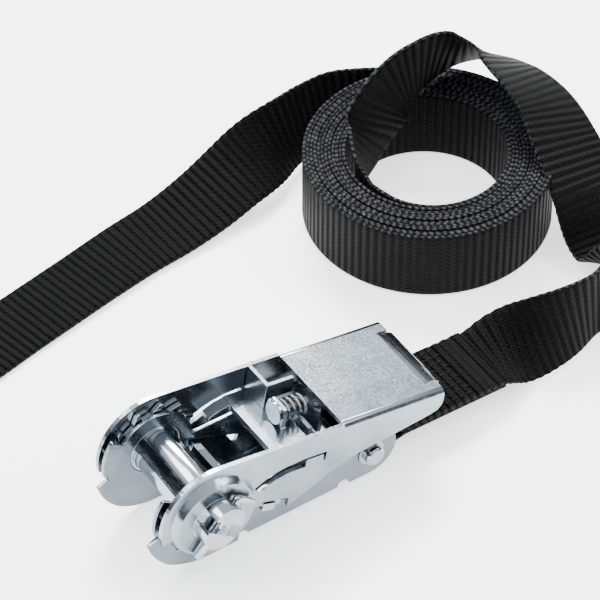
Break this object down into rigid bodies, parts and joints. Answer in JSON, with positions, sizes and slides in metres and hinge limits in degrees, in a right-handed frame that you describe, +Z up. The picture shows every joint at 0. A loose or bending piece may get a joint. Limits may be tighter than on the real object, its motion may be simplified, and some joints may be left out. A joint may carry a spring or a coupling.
{
  "type": "ratchet strap",
  "caption": "Endless ratchet lashing strap: a folding zinc-plated ratchet buckle with narrow black webbing sewn to its bolt and wound into a flat coil.",
  "frame": {"origin": "centre of the flat underside of the buckle frame's base", "axes": "+X along the frame from the spool to the strap bolt, +Z up out of the base, +Y along the spool's axis so that the coil of webbing lies on the +Y side"},
  "size_m": [0.2956, 0.1462, 0.0508],
  "materials": {
    "zinc": "bright zinc-plated sheet steel, satin outside and near-mirror inside",
    "steel": "bright zinc-plated turned and stamped steel",
    "spring": "plated spring wire",
    "webbing": "black woven polyester webbing with cross ribs"
  },
  "bodies": {
    "frame_body": {"frame": "zinc", "strap_bolt": "steel", "bolt_sleeve": "steel", "bolt_washer": "steel", "sewn_end": "webbing", "webbing_lead": "webbing", "webbing_coil": "webbing", "webbing_tail": "webbing"},
    "spool_body": {"upper_spool_bar": "steel", "lower_spool_bar": "steel", "near_ratchet_wheel": "steel", "far_ratchet_wheel": "steel", "near_retaining_pin": "steel", "far_retaining_pin": "steel"},
    "handle_body": {"handle": "zinc"},
    "drive_pawl_body": {"drive_pawl": "zinc", "finger_pull": "zinc", "spring_guide_stud": "steel", "drive_pawl_spring": "spring"},
    "lock_pawl_body": {"lock_pawl": "steel", "lock_spring_stud": "steel", "lock_pawl_spring": "spring"}
  },
  "joints": [
    {"name": "handle_hinge", "type": "hinge", "parent": "frame_body", "child": "handle_body", "pos_m": [-0.031, 0, 0.0215], "axis": [0, -1, 0], "range_deg": [0, 180]},
    {"name": "spool_spin", "type": "hinge", "parent": "frame_body", "child": "spool_body", "pos_m": [-0.031, 0, 0.0215], "axis": [0, -1, 0], "continuous": true},
    {"name": "drive_pawl_slide", "type": "slide", "parent": "handle_body", "child": "drive_pawl_body", "axis": [0.986, 0, -0.1668], "range_m": [0, 0.001], "stiffness_N_per_m": 600, "springref_m": -0.003},
    {"name": "lock_pawl_slide", "type": "slide", "parent": "frame_body", "child": "lock_pawl_body", "axis": [0.9171, 0, -0.3987], "range_m": [0, 0.0034], "stiffness_N_per_m": 600, "springref_m": -0.003, "deforming": ["lock_pawl_spring"]}
  ]
}
